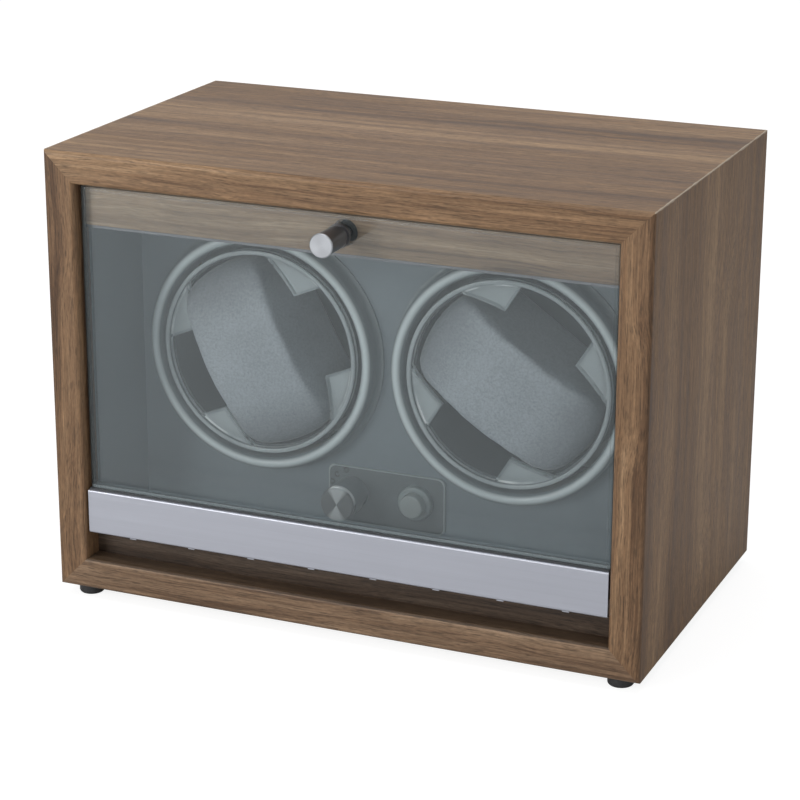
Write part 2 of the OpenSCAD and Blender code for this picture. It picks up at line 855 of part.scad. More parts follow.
// Screws of one size: six hold the plate to its posts and four hold the gearmotors to the plate
module plate_screws() {
    color([0.50, 0.50, 0.52]) union() {
        for (p = posts_at) facing_front(p.x, plate_y + plate_t + eps, p.y) mirror([0, 0, 1])
            pan_screw(m3_r, m3_head_r, m3_head_t, 9);
        for (sx = [-1, 1]) for (s = [-1, 1])
            facing_front(sx * rotor_x + s * motor_screw_off, plate_y - eps, motor_z)
                pan_screw(m3_r, m3_head_r, m3_head_t - 0.3, 8);
    }
}

// ---- controls ----

module control_plate() {
    color([0.32, 0.33, 0.34]) difference() {
        facing_front(plate_mid.x, baffle_y - eps, plate_mid.y) linear_extrude(control_plate_t - eps)
            rounded_rect(plate_size, 3);
        facing_front(mode_x, baffle_y + 1, control_z) cylinder(r = 3.6, h = 4);
        facing_front(button_x, baffle_y + 1, control_z) cylinder(r = 7.1, h = 4);
    }
}

// Rotary switch: body behind the baffle and a threaded bush with its nut in front of the control plate
module mode_switch() {
    front = control_face - 2;
    color([0.20, 0.24, 0.30]) facing_front(mode_x, board_y - eps, control_z) difference() {
        union() {
            translate([-8.5, -8.5, 0]) cube([17, 17, switch_t]);
            cylinder(r = 3.5, h = board_y - front);
            translate([0, 0, board_y - control_face + 2 * eps]) cylinder(r = 5.5, h = 1.8, $fn = 6);
        }
        translate([0, 0, 2]) cylinder(r = spindle_r + fit, h = board_y);
    }
}

module mode_spindle() {
    back = board_y - 2.5;
    color(steel) facing_front(mode_x, back, control_z) cylinder(r = spindle_r, h = back - mode_front - 4);
}

// Hollow skirt of the mode knob with a hub that grips the spindle
module mode_knob() {
    back = control_face - 0.5;
    front = mode_front + 3.2;
    color([0.12, 0.12, 0.13]) facing_front(mode_x, back, control_z) difference() {
        union() {
            tube(mode_r, mode_r - 1.6, back - front);
            translate([0, 0, back - mode_hub_back]) cylinder(r = 4.6, h = mode_hub_back - front);
            translate([0, 0, back - front - 1.6]) cylinder(r = mode_r - eps, h = 1.6);
        }
        translate([0, 0, -1]) cylinder(r = spindle_r + 0.02, h = back - mode_front - 4 + 1.05);
    }
}

module mode_knob_ring() {
    color(silver) facing_front(mode_x, mode_front + 3.2 - eps, control_z) difference() {
        union() {
            tube(mode_r + 0.2, mode_r - 2, 0.6);
            tube(mode_r - 0.3, mode_r - 2, 1.2);
            translate([0, 0, 1]) tube(mode_r + 0.2, mode_r - 2, 0.6);
        }
    }
}

module mode_knob_cap() {
    color(silver) facing_front(mode_x, mode_front + 3.2 - 2 * eps, control_z) union() {
        cylinder(r = mode_r - 2.05, h = 1.7);
        translate([0, 0, 1.6 + eps]) cylinder(r = mode_r - 0.1, h = 1);
        translate([0, 0, 2.6 + eps]) cylinder(r1 = mode_r - 0.1, r2 = mode_r - 0.6, h = 0.6 - 2 * eps);
    }
}

module button_collar() {
    round_r = 1;
    flange_t = control_face - collar_y;
    color([0.34, 0.36, 0.37]) facing_front(button_x, control_face - eps, control_z) difference() {
        union() {
            cylinder(r = collar_r - round_r, h = flange_t);
            cylinder(r = collar_r, h = flange_t - round_r);
            translate([0, 0, flange_t - round_r]) rotate_extrude() translate([collar_r - round_r, 0])
                circle(round_r, $fn = 48);
            translate([0, 0, -7]) cylinder(r = 7, h = 7 + eps);
        }
        translate([0, 0, -8]) cylinder(r = collar_bore, h = 20);
    }
}

module power_button() {
    round_r = 0.8;
    color([0.38, 0.40, 0.41]) facing_front(button_x, button_back, control_z) union() {
        cylinder(r = button_r, h = button_back - button_front - round_r);
        cylinder(r = button_r - round_r, h = button_back - button_front);
        translate([0, 0, button_back - button_front - round_r]) rotate_extrude()
            translate([button_r - round_r, 0]) circle(round_r, $fn = 48);
        translate([0, 0, button_back - stem_back]) cylinder(r = stem_r, h = stem_back - button_back + eps);
    }
}

module power_switch() {
    color([0.14, 0.14, 0.15]) facing_front(button_x, board_y - eps, control_z) difference() {
        translate([-6, -6, 0]) cube([12, 12, switch_t - 0.5]);
        translate([0, 0, 2]) cylinder(r = stem_r + fit, h = switch_t);
    }
}

module button_spring() {
    front = button_back + spring_wire + 0.05;
    back = switch_y + 0.5 - spring_wire - 0.05;
    steps = 14 * spring_turns;
    coil = [for (i = [0 : steps]) let (a = 360 * spring_turns * i / steps)
        [spring_r * cos(a), front + (back - front) * i / steps, spring_r * sin(a)]];
    color(steel) in_case() translate([button_x, 0, control_z]) swept_tube(coil, spring_wire, [0, 1, 0], 6);
}

// Circuit board with a driver chip, two capacitors and its plug sockets on the rear face
module control_board() {
    color([0.13, 0.33, 0.20]) union() {
        block([-32, board_y, 32], [30, board_y + board_t, 58]);
        block([-29, board_y + board_t - eps, 35], [-17, board_y + board_t + 2, 43]);
        for (x = [-8, 8, 22]) block([x - 4, board_y + board_t - eps, 40], [x + 4, socket_back, 52]);
        for (x = [-27, -18]) facing_front(x, board_y + board_t + 8, 51) cylinder(r = 3, h = 8 + eps);
    }
}

module dc_inlet() {
    color([0.08, 0.08, 0.08]) facing_front(dc_x, case_d - eps, dc_z) union() {
        difference() {
            union() {
                cylinder(r = dc_flange_r, h = dc_flange_t);
                cylinder(r = dc_r, h = dc_body_l);
            }
            translate([0, 0, -1]) cylinder(r = plug_r, h = plug_depth + 1);
        }
        translate([0, 0, 1]) cylinder(r = 1, h = plug_depth);
    }
}

module dc_nut() {
    color(steel) facing_front(dc_x, back_y - 0.02, dc_z) difference() {
        cylinder(r = 6.6, h = 2.5, $fn = 6);
        translate([0, 0, -1]) cylinder(r = dc_r + 0.02, h = 5);
    }
}

module dc_lead() {
    color([0.06, 0.06, 0.06]) in_case() swept_tube(smooth_route(dc_route), lead_r, [0, 0, 1]);
}

// Two wires to each motor, spread where they meet its terminals
module motor_leads() {
    color([0.55, 0.12, 0.10]) for (side = [-1, 1]) for (wire = [-1, 1]) in_case() swept_tube(
        smooth_route([
            for (i = [0 : len(motor_route) - 1]) let (p = motor_route[i])
            [side * (p.x + wire * wire_spread[i]), p.y, p.z]
        ]), wire_r, [1, 0, 0]);
}

top_board();
bottom_board();
left_board();
right_board();
back_panel();
back_screws();
feet();
foot_screws();
valance();
valance_trim();
catch_magnet();
door_sill();
interior_lining();
baffle();
glass_pane();
door_channel();
glass_gasket();
hinge_blocks();
hinge_pins();
door_knob();
knob_face();
knob_washer();
knob_screw();
bezel_left();
bezel_right();
rotor_drum_left();
rotor_drum_right();
rotor_cup_left();
rotor_cup_right();
pillow_left();
pillow_right();
rotor_gear_left();
rotor_gear_right();
rotor_shaft_left();
rotor_shaft_right();
shaft_clip_left();
shaft_clip_right();
bearing_bushes();
gearmotor_left();
gearmotor_right();
pinion_left();
pinion_right();
motor_plate();
plate_posts();
plate_screws();
control_plate();
mode_switch();
mode_spindle();
mode_knob();
mode_knob_ring();
mode_knob_cap();
button_collar();
power_button();
power_switch();
button_spring();
control_board();
dc_inlet();
dc_nut();
dc_lead();
motor_leads();
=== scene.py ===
import math

import bmesh
import bpy
from mathutils import Matrix, Vector


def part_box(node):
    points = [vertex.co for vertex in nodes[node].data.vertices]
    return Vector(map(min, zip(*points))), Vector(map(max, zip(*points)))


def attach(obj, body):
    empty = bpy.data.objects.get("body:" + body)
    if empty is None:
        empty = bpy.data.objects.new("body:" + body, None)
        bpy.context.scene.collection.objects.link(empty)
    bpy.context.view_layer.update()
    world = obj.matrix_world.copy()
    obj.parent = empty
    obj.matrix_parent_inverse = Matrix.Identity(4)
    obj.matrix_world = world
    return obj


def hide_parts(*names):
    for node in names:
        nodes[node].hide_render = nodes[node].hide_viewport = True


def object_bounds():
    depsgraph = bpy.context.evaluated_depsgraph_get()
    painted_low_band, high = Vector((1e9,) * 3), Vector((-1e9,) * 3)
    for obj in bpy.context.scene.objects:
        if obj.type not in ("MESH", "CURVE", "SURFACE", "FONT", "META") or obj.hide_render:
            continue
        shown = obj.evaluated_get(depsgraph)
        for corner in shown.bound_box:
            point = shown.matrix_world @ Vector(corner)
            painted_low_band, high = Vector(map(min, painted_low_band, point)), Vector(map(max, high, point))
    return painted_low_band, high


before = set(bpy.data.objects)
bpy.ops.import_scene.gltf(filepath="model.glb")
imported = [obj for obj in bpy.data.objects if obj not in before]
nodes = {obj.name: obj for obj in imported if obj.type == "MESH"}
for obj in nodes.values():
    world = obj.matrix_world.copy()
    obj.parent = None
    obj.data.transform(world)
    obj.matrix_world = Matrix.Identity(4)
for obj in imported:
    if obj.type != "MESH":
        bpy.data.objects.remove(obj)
CAD_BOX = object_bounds()
scene = bpy.context.scene
LOW, HIGH = Vector(CAD_BOX[0]), Vector(CAD_BOX[1])
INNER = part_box("interior_lining")
OPENING = (INNER[1][0], (INNER[0][2] + INNER[1][2]) / 2, (INNER[1][2] - INNER[0][2]) / 2)

# Wood and glass, in metres
OPENING_HIGHLIGHT_W = 0.0008  # painted highlight: paler line round the front opening
SILL_ZONE = 0.1  # upward faces below this height get painted shade where they sit behind the front (the recessed treads)
BEVEL = 0.0022  # ground band round the pane
ARRIS = 0.0006  # dark outer edge of the pane: painted shade of the gap round it
FOOT = 0.0014  # hazy strip of the pane above its gasket: painted light over the shade behind it

# Clear cups: depths behind the front of the cup, and the radius beyond which the webs get a patchy painted
# highlight
CUP_LIP = 0.0004
WEB = (0.0018, 0.0036)
WEB_HIGHLIGHT_R = 0.0463

# Pads
PAD_ANGLE = {"left": -62.5, "right": -33.5}  # degrees from level to each pillow's length
PAD_CORNER = 0.014
PAD_CROWN = 0.090
PAD_SHY = 0.0006  # how much smaller a pad starts than its CAD block
PAD_GAP = 0.0001  # what it keeps clear of the block's faces when done
SIDE_R, END_R, BACK_R = 0.0018, 0.0070, 0.0020  # edge radii
VOXEL = 0.0018
SWELL = 0.0010  # furthest that the cloth may move a point

# Printed marks round the mode knob
MARK_RING = 0.0113
MARK_R = 0.00115
HEAD = 0.0008  # half the width of an arrow's head
SINK = 0.00001  # how far a mark starts off the plate
INK_T = 0.00006


def centre(name):
    lo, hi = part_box(name)
    return [(a + b) / 2 for a, b in zip(lo, hi)]


def xz(name):
    c = centre(name)
    return c[0], c[2]


# ---- node helpers ----

class Tree:
    """A material's node tree with short calls to add and join nodes."""

    def __init__(self, name):
        self.mat = bpy.data.materials.new(name)
        self.mat.use_nodes = True
        self.nt = self.mat.node_tree
        self.out = self.nt.nodes["Material Output"]
        self.bsdf = self.nt.nodes["Principled BSDF"]

    def add(self, kind, ins=None, **props):
        n = self.nt.nodes.new("ShaderNode" + kind)
        for k, v in props.items():
            setattr(n, k, v)
        for k, v in (ins or {}).items():
            self.put(n.inputs[k], v)
        return n

    def put(self, socket, v):
        if isinstance(v, bpy.types.NodeSocket):
            self.nt.links.new(v, socket)
        else:
            socket.default_value = v

    def coords(self, scale, rotation=(0, 0, 0), source=None):
        c = source or self.add("TexCoord").outputs["Object"]
        return self.add("Mapping", {"Vector": c, "Scale": scale, "Rotation": rotation}).outputs[0]

    def noise(self, vector, detail=4.0, rough=0.55):
        ins = {"Vector": vector, "Scale": 1.0, "Detail": detail, "Roughness": rough}
        return self.add("TexNoise", ins).outputs[0]

    def math(self, op, a, b=0.0, clamp=False):
        return self.add("Math", {0: a, 1: b}, operation=op, use_clamp=clamp).outputs[0]

    def span(self, v, lo, hi, to_lo=0.0, to_hi=1.0):
        ins = {"Value": v, "From Min": lo, "From Max": hi, "To Min": to_lo, "To Max": to_hi}
        return self.add("MapRange", ins).outputs[0]

    def part(self, vector, axis):
        return self.add("SeparateXYZ", {0: vector}).outputs[axis]

    def vector(self, op, a, b=None, out=0):
        ins = {0: a} if b is None else {0: a, 1: b}
        return self.add("VectorMath", ins, operation=op).outputs[out]

    def grey(self, v):
        return self.add("CombineColor", {0: v, 1: v, 2: v}).outputs[0]

    def mix(self, fac, a, b, blend="MIX"):
        n = self.add("Mix", data_type="RGBA", blend_type=blend)
        self.put(n.inputs[0], fac)
        self.put(n.inputs[6], a)
        self.put(n.inputs[7], b)
        return n.outputs[2]

    def ramp(self, fac, stops):
        n = self.add("ValToRGB", {"Fac": fac})
        els = n.color_ramp.elements
        while len(els) < len(stops):
            els.new(0.5)
        for e, (pos, col) in zip(els, stops):
            e.position = pos
            e.color = (*col, 1) if len(col) == 3 else col
        return n.outputs[0]

    def bump(self, height, strength=0.2, distance=0.0003):
        n = self.add("Bump", {"Height": height, "Strength": strength, "Distance": distance})
        return n.outputs[0]

    def set(self, **ins):
        for k, v in ins.items():
            self.put(self.bsdf.inputs[k.replace("_", " ")], v)


def rgb(c):
    return (*c, 1.0)


# ---- materials ----

def walnut(name, axis, offset=0.0, tint=(1.0, 1.0, 1.0), wave=0.0012, edge_wear_and_highlight=False, crisp=1.0, even=0.0):
    """Walnut laminate: grain lines that wander a little, short dark pores and a varying sheen."""
    t = Tree(name)
    along = {"x": 0, "z": 2}[axis]

    def scaled(a, b):
        return tuple(a if i == along else b for i in range(3))

    place = t.add("TexCoord").outputs["Object"]
    moved = t.vector("ADD", place, (offset, offset * 1.7, offset * 0.6))
    bend = t.noise(t.coords(scaled(7, 16), source=moved), detail=2, rough=0.5)
    shift = t.math("MULTIPLY", t.math("SUBTRACT", bend, 0.5), wave * 10)
    parts = {i: 0.0 if i == along else shift for i in range(3)}
    grain = t.vector("ADD", moved, t.add("CombineXYZ", parts).outputs[0])

    broad = t.noise(t.coords(scaled(1.3, 26), source=grain), detail=3, rough=0.5)
    bands = t.noise(t.coords(scaled(3.0, 150), source=grain), detail=4, rough=0.62)
    fine = t.noise(t.coords(scaled(9, 640), source=grain), detail=3, rough=0.65)
    hair = t.noise(t.coords(scaled(26, 1700), source=grain), detail=2, rough=0.6)
    pores = t.noise(t.coords(scaled(130, 2300), source=grain), detail=1, rough=0.5)
    fleck = t.noise(t.coords(scaled(420, 1500), source=grain), detail=2, rough=0.6)
    v = t.math("ADD", t.math("MULTIPLY", broad, 0.38), t.math("MULTIPLY", bands, 0.38))
    v = t.math("ADD", v, t.math("MULTIPLY", fine, 0.24))
    facing = t.add("SeparateXYZ", {0: t.add("TexCoord").outputs["Normal"]})
    calm = t.math("ADD", t.math("MULTIPLY", t.math("ABSOLUTE", facing.outputs[0]), 0.25 - even), even)
    v = t.math("ADD", v, t.math("MULTIPLY", t.math("SUBTRACT", 0.5, v), calm))

    def tone(r, g, b):
        return (r * tint[0], g * tint[1], b * tint[2])

    colour = t.ramp(v, [(0.40, tone(0.082, 0.041, 0.019)), (0.465, tone(0.168, 0.094, 0.047)),
                        (0.525, tone(0.226, 0.134, 0.070)), (0.60, tone(0.335, 0.215, 0.122))])
    shade = t.math("MULTIPLY", t.span(hair, 0.32, 0.68, 0.76, 1.22), t.span(pores, 0.34, 0.46, 0.62, 1.04))
    shade = t.math("MULTIPLY", shade, t.span(fleck, 0.3, 0.7, 0.86, 1.14))
    shade = t.math("ADD", 1.0 - crisp, t.math("MULTIPLY", shade, crisp))
    pos = t.add("SeparateXYZ", {0: place})
    # painted shade: upward faces behind the front and below SILL_ZONE are darkened, standing in for the
    # shade of the recess
    inside = t.math("GREATER_THAN", pos.outputs[1], LOW.y + 0.0012)
    painted_low_band = t.math("LESS_THAN", pos.outputs[2], SILL_ZONE)
    painted_upper_shading = t.math("MULTIPLY", t.math("GREATER_THAN", facing.outputs[2], 0.5), painted_low_band)
    shade = t.math("MULTIPLY", shade, t.span(t.math("MULTIPLY", inside, painted_upper_shading), 0, 1, 1, 0.42))
    colour = t.mix(1.0, colour, t.grey(shade), "MULTIPLY")
    # painted highlight with some wear: a paler strip along the edges where the top meets the sides, its
    # width broken up by chips
    if edge_wear_and_highlight:
        side = t.math("SUBTRACT", HIGH.x, t.math("ABSOLUTE", pos.outputs[0]))
        top = t.math("SUBTRACT", HIGH.z, pos.outputs[2])
        chips = t.noise(t.coords((160, 160, 160)), detail=3)
        reach = t.span(chips, 0.35, 0.7, 0.0003, 0.0009)
        rim = t.math("LESS_THAN", t.math("MAXIMUM", side, top), reach)
        colour = t.mix(t.math("MULTIPLY", rim, 0.75), colour, rgb((0.50, 0.41, 0.31)))
    # painted highlight: a paler line on the rounded edge round the front opening
    across = t.math("SUBTRACT", t.math("ABSOLUTE", pos.outputs[0]), OPENING[0])
    upright = t.math("ABSOLUTE", t.math("SUBTRACT", pos.outputs[2], OPENING[1]))
    upright = t.math("SUBTRACT", upright, OPENING[2])
    opening_highlight = t.math("LESS_THAN", t.math("MAXIMUM", across, upright), OPENING_HIGHLIGHT_W)
    opening_highlight = t.math("MULTIPLY", opening_highlight, t.math("SUBTRACT", 1.0, inside))
    colour = t.mix(t.math("MULTIPLY", opening_highlight, 0.35), colour, rgb((0.36, 0.27, 0.18)))
    rough = t.span(t.math("ADD", bands, fine), 0.8, 1.2, 0.42, 0.54)
    height = t.math("ADD", t.math("MULTIPLY", hair, 0.6), shade)
    t.set(Base_Color=colour, Roughness=rough, Normal=t.bump(height, 0.3, 0.0001), Specular_IOR_Level=0.36)
    return t.mat


def plastic(name, colour, rough, grain, strength, vary, spec=0.5, metallic=0.0, crest_highlight=None, painted_upper_shading=1.0,
            painted_low_band=None):
    """Moulded or painted surface: fine grain, slight blotches and a roughness that varies.

    crest_highlight paints a highlight on the front edge, painted_upper_shading paints light on the upper
    faces, and painted_low_band paints light on the part near the floor."""
    t = Tree(name)
    g = t.noise(t.coords((grain, grain, grain)), detail=2)
    blotch = t.noise(t.coords((30, 30, 30)), detail=3)
    lo = tuple(c * (1 - vary) for c in colour)
    hi = tuple(min(1.0, c * (1 + vary)) for c in colour)
    body = t.ramp(blotch, [(0.35, lo), (0.65, hi)])
    # painted highlight on the frontmost band of the surface
    if crest_highlight:
        front, depth, highlight_colour = crest_highlight
        y = t.part(t.add("TexCoord").outputs["Object"], 1)
        body = t.mix(t.span(y, front, front + depth), rgb(highlight_colour), body)
    # painted light: upward faces get the colour times painted_upper_shading
    if painted_upper_shading != 1.0:
        up = t.part(t.add("TexCoord").outputs["Normal"], 2)
        body = t.mix(t.span(up, 0.3, 0.9), body, rgb(tuple(c * painted_upper_shading for c in colour)))
    # painted light: the surface is lightened towards its bottom edge
    if painted_low_band:
        z = t.part(t.add("TexCoord").outputs["Object"], 2)
        body = t.mix(t.span(z, painted_low_band[0], painted_low_band[1]), rgb(tuple(c * painted_low_band[2] for c in colour)), body)
    t.set(Base_Color=body, Roughness=t.span(blotch, 0.3, 0.7, rough * 0.88, rough * 1.12),
          Normal=t.bump(g, strength, 0.00006), Specular_IOR_Level=spec, Metallic=metallic)
    return t.mat


def lit_edge(name, colour, edge, rough, node, corner):
    """Moulded plate with a paler rim that follows its rounded outline, a painted highlight, and faint
    smears.
    """
    t = Tree(name)
    n = t.noise(t.coords((1500, 1500, 1500)), detail=2)
    smear = t.noise(t.coords((70, 70, 70)), detail=3)
    pos = t.add("SeparateXYZ", {0: t.add("TexCoord").outputs["Object"]})
    lo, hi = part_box(node)
    reach = []
    for i in (0, 2):
        off = t.math("ABSOLUTE", t.math("SUBTRACT", pos.outputs[i], (lo[i] + hi[i]) / 2))
        reach.append(t.math("MAXIMUM", t.math("SUBTRACT", off, (hi[i] - lo[i]) / 2 - corner), 0.0))
    squares = [t.math("MULTIPLY", r, r) for r in reach]
    far = t.math("SQRT", t.math("ADD", *squares))
    # painted highlight: the band near the outline is mixed towards the edge colour
    rim = t.math("MULTIPLY", t.math("GREATER_THAN", far, corner - 0.0005), 0.9)
    lo, hi = (tuple(c * k for c in colour) for k in (0.93, 1.4))
    body = t.ramp(smear, [(0.35, lo), (0.56, colour), (0.72, hi)])
    t.set(Base_Color=t.mix(rim, body, rgb(edge)), Normal=t.bump(n, 0.03, 0.00006),
          Roughness=t.span(smear, 0.3, 0.7, rough * 1.1, rough * 0.85))
    return t.mat


def brushed(name, colour, scale, rough, contrast, strength=0.12):
    """Metal brushed along one axis: fine streaks in colour, roughness and height."""
    t = Tree(name)
    s = t.noise(t.coords(scale), detail=5, rough=0.7)
    wide = t.noise(t.coords(tuple(v * 0.12 for v in scale)), detail=3)
    v = t.math("ADD", t.math("MULTIPLY", s, 0.7), t.math("MULTIPLY", wide, 0.3))
    lo = tuple(c * (1 - contrast) for c in colour)
    hi = tuple(min(1.0, c * (1 + contrast)) for c in colour)
    t.set(Base_Color=t.ramp(v, [(0.36, lo), (0.64, hi)]), Metallic=1.0, Normal=t.bump(s, strength, 0.00004),
          Roughness=t.span(s, 0.3, 0.7, rough * 0.8, rough * 1.25))
    return t.mat


def turned(name, colour, middle, rough, strength, streak, lit=None, metal=1.0):
    """Metal faced on a lathe: fine circles about a centre in x and z; lit gives it a brighter sector."""
    t = Tree(name)
    pos = t.add("TexCoord").outputs["Object"]
    off = t.vector("SUBTRACT", pos, (middle[0], 0, middle[1]))
    flat = t.vector("MULTIPLY", off, (1, 0, 1))
    r = t.vector("LENGTH", flat, out="Value")
    rings = t.noise(t.add("CombineXYZ", {0: t.math("MULTIPLY", r, 9000.0)}).outputs[0], detail=3, rough=0.8)
    body = t.ramp(rings, [(0.3, tuple(c * 0.86 for c in colour)), (0.7, colour)])
    # painted highlight: lit brightens one sector, or two opposite ones, of the face
    if lit:
        way, lo, hi, both = lit
        spoke = t.vector("NORMALIZE", flat)
        turn = t.vector("DOT_PRODUCT", spoke, (math.cos(way), 0, math.sin(way)), "Value")
        if both:
            turn = t.math("ABSOLUTE", turn)
        part = t.span(turn, lo, hi, 0.20, 1.0)
        body = t.mix(1.0, body, t.grey(part), "MULTIPLY")
    t.set(Base_Color=body, Metallic=metal, Roughness=t.span(rings, 0.3, 0.7, rough * 0.8, rough * 1.2),
          Normal=t.bump(rings, strength, 0.00003), Anisotropic=streak)
    t.set(Tangent=t.add("Tangent", direction_type="RADIAL", axis="Y").outputs[0])
    return t.mat


def rubber(name):
    """Black rubber with a faint mottle."""
    t = Tree(name)
    n = t.noise(t.coords((500, 500, 500)), detail=3)
    t.set(Base_Color=t.ramp(n, [(0.3, (0.018, 0.018, 0.019)), (0.7, (0.034, 0.034, 0.036))]),
          Roughness=t.span(n, 0.3, 0.7, 0.28, 0.42), Normal=t.bump(n, 0.1, 0.0001))
    return t.mat


def leatherette(name, colour, hub, angle):
    """Grey leatherette: a soft fine grain, faint blotches, a little sheen and ends darkened as painted
    shade.
    """
    t = Tree(name)
    fine = t.noise(t.coords((1050, 1050, 1050)), detail=2, rough=0.5)
    crease = t.noise(t.coords((150, 150, 150)), detail=4, rough=0.6)
    blotch = t.noise(t.coords((38, 38, 38)), detail=3)
    v = t.math("ADD", t.math("MULTIPLY", blotch, 0.35), t.math("MULTIPLY", fine, 0.65))
    lo = tuple(c * 0.85 for c in colour)
    hi = tuple(c * 1.14 for c in colour)
    off = t.vector("SUBTRACT", t.add("TexCoord").outputs["Object"], hub)
    a = math.radians(angle)
    along = t.vector("DOT_PRODUCT", off, (math.cos(a), 0, math.sin(a)), "Value")
    # painted shade: the pad darkens towards both ends of its length
    part = t.span(t.math("ABSOLUTE", along), 0.018, 0.045, 1.0, 0.46)
    body = t.mix(1.0, t.ramp(v, [(0.38, lo), (0.62, hi)]), t.grey(part), "MULTIPLY")
    h = t.math("ADD", t.math("MULTIPLY", crease, 0.5), t.math("MULTIPLY", fine, 0.5))
    t.set(Base_Color=body, Roughness=t.span(v, 0.35, 0.65, 0.60, 0.50), Normal=t.bump(h, 0.5, 0.0003),
          Specular_IOR_Level=0.4, Sheen_Weight=0.2, Sheen_Roughness=0.4)
    return t.mat


def clear(name, tint, haze, haze_colour, node, rough, streak):
    """A clear moulding: see-through, with a Fresnel reflection, a little haze, and painted highlights on the
    cut edges, the front rim and the outer ends of the webs.
    """
    t = Tree(name)
    see = t.add("BsdfTransparent", {"Color": rgb(tint)})
    gloss = t.add("BsdfGlossy", {"Color": rgb((1, 1, 1)), "Roughness": rough})
    t.set(Roughness=0.5, Specular_IOR_Level=0.2)
    place = t.add("TexCoord")
    back = t.math("SUBTRACT", t.part(place.outputs["Object"], 1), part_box(node)[0][1])
    off = t.vector("SUBTRACT", place.outputs["Object"], centre(node))
    far = t.vector("LENGTH", t.vector("MULTIPLY", off, (1, 0, 1)), out="Value")
    face = t.math("ABSOLUTE", t.part(place.outputs["Normal"], 1))
    web = t.math("MULTIPLY", t.math("GREATER_THAN", back, WEB[0]), t.math("LESS_THAN", back, WEB[1]))
    cut = t.math("MULTIPLY", web, t.math("LESS_THAN", face, 0.5))
    rim = t.math("LESS_THAN", back, CUP_LIP)
    patchy = t.span(t.noise(t.coords((55, 55, 55)), detail=2), 0.42, 0.62)
    # painted highlight: a patchy paler band where the webs meet the rim
    outer_web_highlight = t.math("MULTIPLY", t.math("MULTIPLY", web, t.math("GREATER_THAN", far, WEB_HIGHLIGHT_R)), patchy)
    smear = t.noise(t.coords((14, 14, 14)), detail=4)
    amount = t.math("ADD", t.span(smear, 0.3, 0.7, haze * 0.8, haze * 1.2), t.math("MULTIPLY", web, 0.34))
    # painted highlight: the slot edges and the front rim are made hazier and paler
    amount = t.math("ADD", amount, t.math("MULTIPLY", t.math("ADD", cut, rim), 0.45))
    amount = t.math("ADD", amount, t.math("MULTIPLY", outer_web_highlight, 0.5), clamp=True)
    t.set(Base_Color=t.mix(outer_web_highlight, rgb(haze_colour), rgb((0.95, 0.98, 0.98))))
    t.put(gloss.inputs["Normal"], t.bump(t.noise(t.coords((60, 60, 60)), detail=2), streak, 0.0004))
    body = t.add("MixShader", {0: amount, 1: see.outputs[0], 2: t.bsdf.outputs[0]})
    edge = t.add("Fresnel", {"IOR": 1.5})
    both = t.add("MixShader", {0: edge.outputs[0], 1: body.outputs[0], 2: gloss.outputs[0]})
    t.nt.links.new(both.outputs[0], t.out.inputs[0])
    return t.mat


def glass(name):
    """Pane: clear with a faint grey-green cast and haze, and a ground bevel that shows as a duller band,
    with a painted highlight along the bevel's inner edge, painted shade along the outer edge and a hazier
    strip above the gasket that paints light over the shade behind it.
    """
    t = Tree(name)
    see = t.add("BsdfTransparent", {"Color": rgb((0.975, 0.985, 0.988))})
    gloss = t.add("BsdfGlossy", {"Color": rgb((0.93, 0.98, 1.0)), "Roughness": 0.04})
    pos = t.add("SeparateXYZ", {0: t.add("TexCoord").outputs["Object"]})
    lo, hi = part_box("glass_pane")
    out = t.math("SUBTRACT", hi[0], t.math("ABSOLUTE", pos.outputs[0]))
    up = t.math("SUBTRACT", hi[2], pos.outputs[2])
    near = t.math("MINIMUM", out, up)
    band = t.math("LESS_THAN", near, BEVEL)
    # painted highlight: a thin paler line along the bevel's inner edge
    line = t.math("MULTIPLY", band, t.math("GREATER_THAN", near, BEVEL - 0.0004))
    edge = t.math("MULTIPLY", t.add("Fresnel", {"IOR": 1.5}).outputs[0], t.span(band, 0, 1, 1, 0.08))
    pane = t.add("MixShader", {0: edge, 1: see.outputs[0], 2: gloss.outputs[0]})
    film = t.noise(t.coords((9, 9, 9)), detail=3)
    t.set(Base_Color=rgb((0.42, 0.49, 0.52)), Roughness=0.4, Specular_IOR_Level=0.3)
    amount = t.math("ADD", t.math("MULTIPLY", band, 0.06), t.math("MULTIPLY", line, 0.09))
    amount = t.math("ADD", amount, t.span(film, 0.3, 0.7, 0.044, 0.056))
    # painted light: a hazier strip just above the gasket hides the shade behind the pane there
    foot = t.math("LESS_THAN", pos.outputs[2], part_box("glass_gasket")[1][2] + FOOT)
    amount = t.math("ADD", amount, t.math("MULTIPLY", foot, 0.30))
    whole = t.add("MixShader", {0: amount, 1: pane.outputs[0], 2: t.bsdf.outputs[0]})
    dark = t.add("BsdfDiffuse", {"Color": rgb((0.05, 0.045, 0.04))})
    # painted shade: the pane's outer edge is mixed towards a dark diffuse
    rim = t.math("MULTIPLY", t.math("LESS_THAN", near, ARRIS), 0.6)
    last = t.add("MixShader", {0: rim, 1: whole.outputs[0], 2: dark.outputs[0]})
    t.nt.links.new(last.outputs[0], t.out.inputs[0])
    return t.mat


def circuit(name):
    """Green board with paler tracks."""
    t = Tree(name)
    tracks = t.add("TexBrick", {
        "Vector": t.coords((1, 1, 1), rotation=(math.pi / 2, 0, 0)), "Scale": 220.0, "Mortar Size": 0.012,
        "Color1": rgb((0.012, 0.085, 0.04)), "Color2": rgb((0.018, 0.11, 0.05)),
        "Mortar": rgb((0.05, 0.18, 0.08))})
    n = t.noise(t.coords((700, 700, 700)), detail=2)
    t.set(Base_Color=tracks.outputs[0], Roughness=t.span(n, 0.3, 0.7, 0.25, 0.4),
          Normal=t.bump(n, 0.1, 0.0001))
    return t.mat


